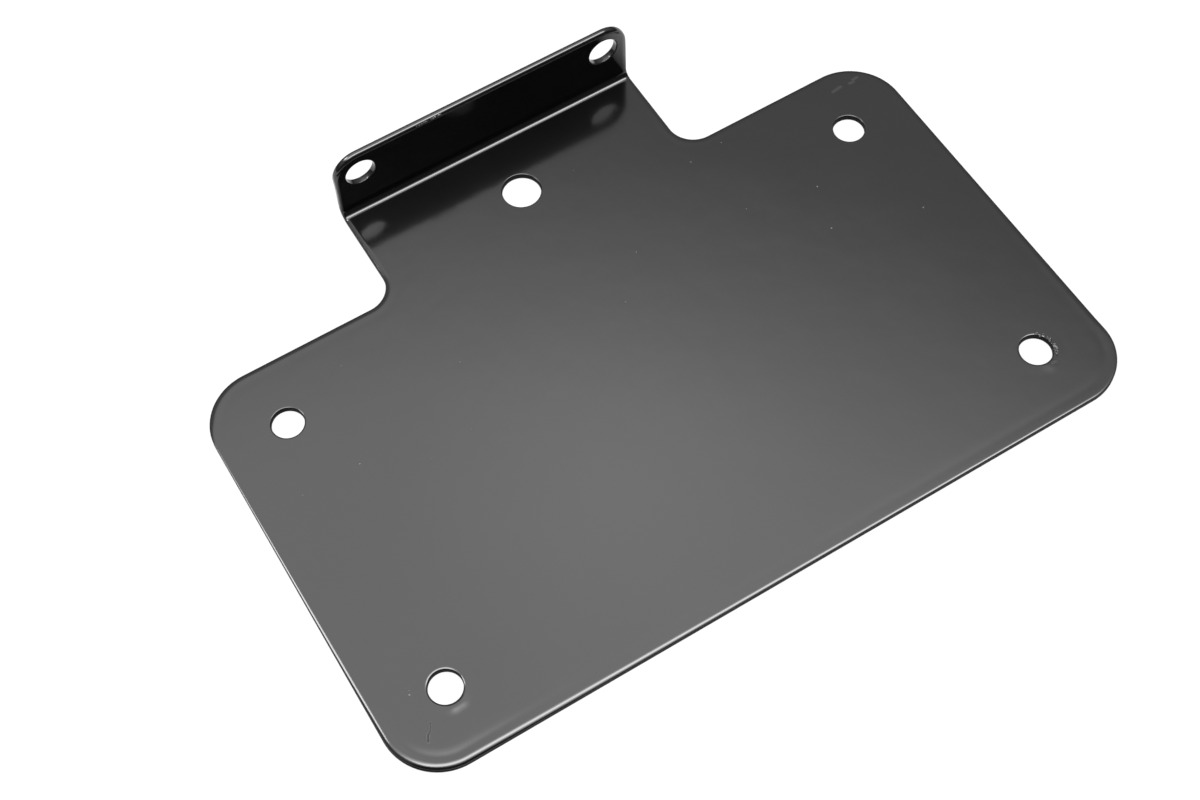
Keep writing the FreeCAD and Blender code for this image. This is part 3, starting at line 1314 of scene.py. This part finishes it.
@dataclass(frozen=True)
class Cluster:
    """Small domes of powder scattered round an arc or along a line, by a fixed seed.

    Attributes:
        start: where the cluster starts.
        end: where it ends.
        centre: the arc's centre, or none for a straight line.
        count: how many domes it has.
        scatter: how far they stray to either side.
        radius: the middle radius of a dome.
        seed: the seed of its scatter.
    """

    start: Place
    end: Place
    centre: Place | None
    count: int
    scatter: Place
    radius: float
    seed: int

    def places(self) -> np.ndarray:
        """The places of the domes."""
        chance = np.random.default_rng(self.seed)
        share = (np.arange(self.count) + chance.random(self.count)) / self.count
        start, end = np.array(self.start), np.array(self.end)
        if self.centre is None:
            line = start + share[:, None] * (end - start)
        else:
            middle = np.array(self.centre)
            first, last = (np.arctan2(*(tip - middle)[1::-1]) for tip in (start, end))
            turn = first + share * (last - first)
            reach = np.hypot(*(start - middle)[:2])
            around = np.column_stack((np.cos(turn), np.sin(turn), np.zeros(self.count)))
            line = middle + reach * around
        return line + chance.uniform(-1.0, 1.0, (self.count, 3)) * self.scatter


@dataclass
class DomeTree:
    """A geometry node tree that sets a flat dome on every point of a mesh.

    Attributes:
        material: the domes' material.
        flatness: a dome's height, as a share of its radius.
        least: the smallest dome's size, as a share of the middle one's.
        most: the largest dome's size.
        seed: the seed of the sizes and shades.
    """

    material: bpy.types.Material
    flatness: float = 0.45
    least: float = 0.6
    most: float = 1.3
    seed: int = 7

    def __post_init__(self) -> None:
        """Build the tree, with the domes' sizes as its named inputs."""
        numbers = ("Radius", "Flatness", "Least", "Most", "Darkest", "Palest")
        inputs = {
            "Points": "Geometry",
            **dict.fromkeys(numbers, "Float"),
            "Seed": "Int",
            "Finish": "Material",
        }
        sheet = NodeSheet.group("set_domes", "GeometryNodeTree", inputs, {"Domes": "Geometry"})
        given = sheet.add("NodeGroupInput").outputs
        round_size = {"Radius": given["Radius"], "Subdivisions": 3}
        ball = sheet.add("GeometryNodeMeshIcoSphere", round_size).outputs["Mesh"]
        squashed = {"Geometry": ball, "Scale": sheet.join(1.0, 1.0, given["Flatness"])}
        spread = {
            "Points": given["Points"],
            "Instance": sheet.add("GeometryNodeTransform", squashed).outputs[0],
            "Scale": sheet.chance(given["Least"], given["Most"], given["Seed"]),
        }
        domes = sheet.add("GeometryNodeInstanceOnPoints", spread).outputs[0]
        other_seed = sheet.math("ADD", given["Seed"], 1.0)
        shade = sheet.chance(given["Darkest"], given["Palest"], other_seed)
        kind = {"domain": "INSTANCE", "data_type": "FLOAT"}
        stored = {"Geometry": domes, "Name": DUST_AND_GLINT, "Value": shade}
        tag = sheet.add("GeometryNodeStoreNamedAttribute", stored, **kind)
        self.tree = sheet.finish(tag.outputs[0], given["Finish"])

    def apply(
        self, places: np.ndarray, radius: float, shades: Point, name: str
    ) -> bpy.types.Object:
        """Set domes on points and turn the result into a plain mesh.

        Args:
            places: the points.
            radius: the middle radius of a dome.
            shades: the darkest and the palest dome, where 1 is bare dust, in the blister and the
                chips partly a painted glint.
            name: the finished piece's name.

        Returns:
            The domes as one piece, at the origin.
        """
        mesh = bpy.data.meshes.new(name)
        mesh.from_pydata(places.tolist(), [], [])
        values = {
            "Radius": radius,
            "Flatness": self.flatness,
            "Least": self.least,
            "Most": self.most,
            "Darkest": shades[0],
            "Palest": shades[1],
            "Seed": self.seed,
            "Finish": self.material,
        }
        return applied(placed(name, mesh), self.tree, values, name)


@dataclass(frozen=True)
class Flaws:
    """The small flaws of the coat: dust nibs, sags, a blistered rim and a chipped edge.

    Attributes:
        nibs: the places of the dust nibs on the panel and the neck, in millimetres.
        nib_radius: the middle radius of a nib.
        nib_shades: the darkest and the palest nib.
        cluster_dust_and_glint_shades: the same in the blister and the chips, where some domes are
            clean and the pale ones are partly dust and partly painted glints.
    """

    nibs: tuple[Point, ...] = (
        (-34.3, 28.4), (-40.4, 12.6), (-56.7, 41.3), (-50.8, 10.9), (-64.4, 18.0),
        (-78.1, 17.8), (13.4, 32.2), (4.4, 22.3), (12.9, 58.9), (37.0, 46.4),
        (45.9, 47.3), (57.6, 25.3), (53.8, 14.3), (40.6, 28.8), (74.4, 7.9),
        (-80.7, -31.4), (-80.0, -32.7), (-79.6, -31.9),
    )
    nib_radius: float = 0.17 * MM
    nib_shades: Point = (0.45, 0.95)
    # Pale domes in the blister and the chips are partly dust and partly painted glints.
    cluster_dust_and_glint_shades: Point = (-0.8, 1.0)

    def nib_places(self, top: float) -> np.ndarray:
        """The dust nibs, on the upper skin."""
        return np.array([(x * MM, y * MM, top) for x, y in self.nibs])

    def blister(self, sizes: SheetSizes) -> Cluster:
        """The blistered coat on the right side of the front right plate hole."""
        x, y = sizes.front_right.centre
        reach, top = 4.1 * MM, sizes.thickness
        start, end = (
            (x + reach * cos(turn), y + reach * sin(turn), top)
            for turn in (radians(-50.0), radians(52.0))
        )
        scatter = (0.4 * MM, 0.4 * MM, 0.05 * MM)
        return Cluster(start, end, (x, y, top), 46, scatter, radius=0.22 * MM, seed=3)

    def chips(self, sizes: SheetSizes) -> Cluster:
        """The ragged coat on the inner top rim of the flange."""
        y = sizes.flange_outer - sizes.thickness + 0.16 * MM
        z = sizes.flange_height - 0.2 * MM
        start, end = (-17.0 * MM, y, z), (-10.5 * MM, y, z)
        scatter = (0.0, 0.08 * MM, 0.1 * MM)
        return Cluster(start, end, None, 16, scatter, radius=0.2 * MM, seed=5)

    def sags(self, sizes: SheetSizes) -> tuple[Sag, ...]:
        """Where the powder ran together beside the plate holes."""
        left, right = sizes.front_left, sizes.front_right
        near = left.radius + 0.8 * MM
        return (
            Sag((left.centre[0] - 0.6 * MM, left.centre[1] - near), 1.2 * MM, 0.12 * MM),
            Sag((left.centre[0] + 1.4 * MM, left.centre[1] - near), 1.1 * MM, 0.10 * MM),
            Sag((right.centre[0], right.centre[1] - near), 1.3 * MM, 0.04 * MM),
        )


@dataclass
class Bracket:
    """The whole bracket: one folded and coated sheet."""

    sizes: SheetSizes
    finish: PowderCoat = field(default_factory=PowderCoat)
    flaws: Flaws = field(default_factory=Flaws)

    def build(self) -> list[bpy.types.Object]:
        """Build the bracket's pieces and tie them to the frame.

        Returns:
            The finished pieces.
        """
        sizes, flaws = self.sizes, self.flaws
        material = self.finish.material()
        blank = FlatBlank(sizes, sags=flaws.sags(sizes)).build()
        sheet = FoldTree(sizes, material).apply(blank, "folded_sheet")
        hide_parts("bracket")
        domes = DomeTree(material)
        places = flaws.nib_places(sizes.thickness)
        pieces = [sheet, domes.apply(places, flaws.nib_radius, flaws.nib_shades, "dust_nibs")]
        for name, cluster in (("blister", flaws.blister(sizes)), ("chips", flaws.chips(sizes))):
            places = cluster.places()
            # Some pale domes of the blister and the chips are partly painted glints on the ragged
            # coat.
            pieces.append(domes.apply(places, cluster.radius, flaws.cluster_dust_and_glint_shades, name))
        for piece in pieces:
            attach(piece, "root")
        return pieces


def main() -> None:
    """Build the studio and the bracket in order."""
    logging.basicConfig(level=logging.INFO, format="%(name)s: %(message)s")
    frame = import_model()
    sizes = SheetSizes.from_frame(frame["record"])
    Studio(sizes.footprint()).build()
    PhotoCamera().build()
    for piece in Bracket(sizes).build():
        LOG.info("%s: %d faces", piece.name, len(piece.data.polygons))


if __name__ == "__main__":
    main()
